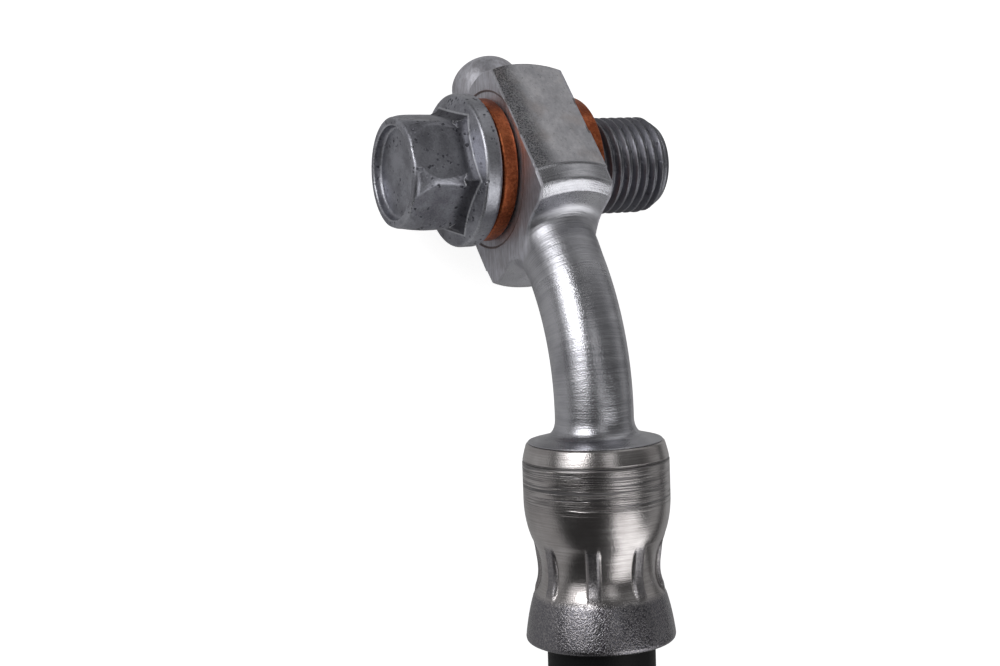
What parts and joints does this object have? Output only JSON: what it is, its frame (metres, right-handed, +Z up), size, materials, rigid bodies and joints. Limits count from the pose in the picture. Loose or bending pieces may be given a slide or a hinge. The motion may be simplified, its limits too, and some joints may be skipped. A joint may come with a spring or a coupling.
{
  "type": "brake hose",
  "caption": "Rubber brake hose with a banjo fitting, its hollow bolt and copper washers at one end and a female hexagon end fitting at the other.",
  "frame": {"origin": "on the surface the part lies on, under the middle of the banjo end (bolt, washers, banjo fitting and its ferrule)", "axes": "+Z up, +X along the banjo bolt from its head to its thread, -Y from the eye along the stem to the hose"},
  "size_m": [0.1399, 0.1981, 0.0242],
  "materials": {
    "dark_steel": "dull dark zinc plating with a grainy surface",
    "copper": "satin copper, slightly darkened",
    "bright_steel": "bright zinc plating with turning marks",
    "ferrule_steel": "bright zinc plating with fine turned rings and pressed jaws",
    "hose_rubber": "smooth black rubber with fine lines along it"
  },
  "bodies": {
    "root": {"banjo_bolt": "dark_steel", "head_washer": "copper", "seat_washer": "copper", "banjo_fitting": "bright_steel", "banjo_ferrule": "ferrule_steel", "hose": "hose_rubber", "end_ferrule": "ferrule_steel", "end_fitting": "bright_steel"}
  },
  "joints": []
}
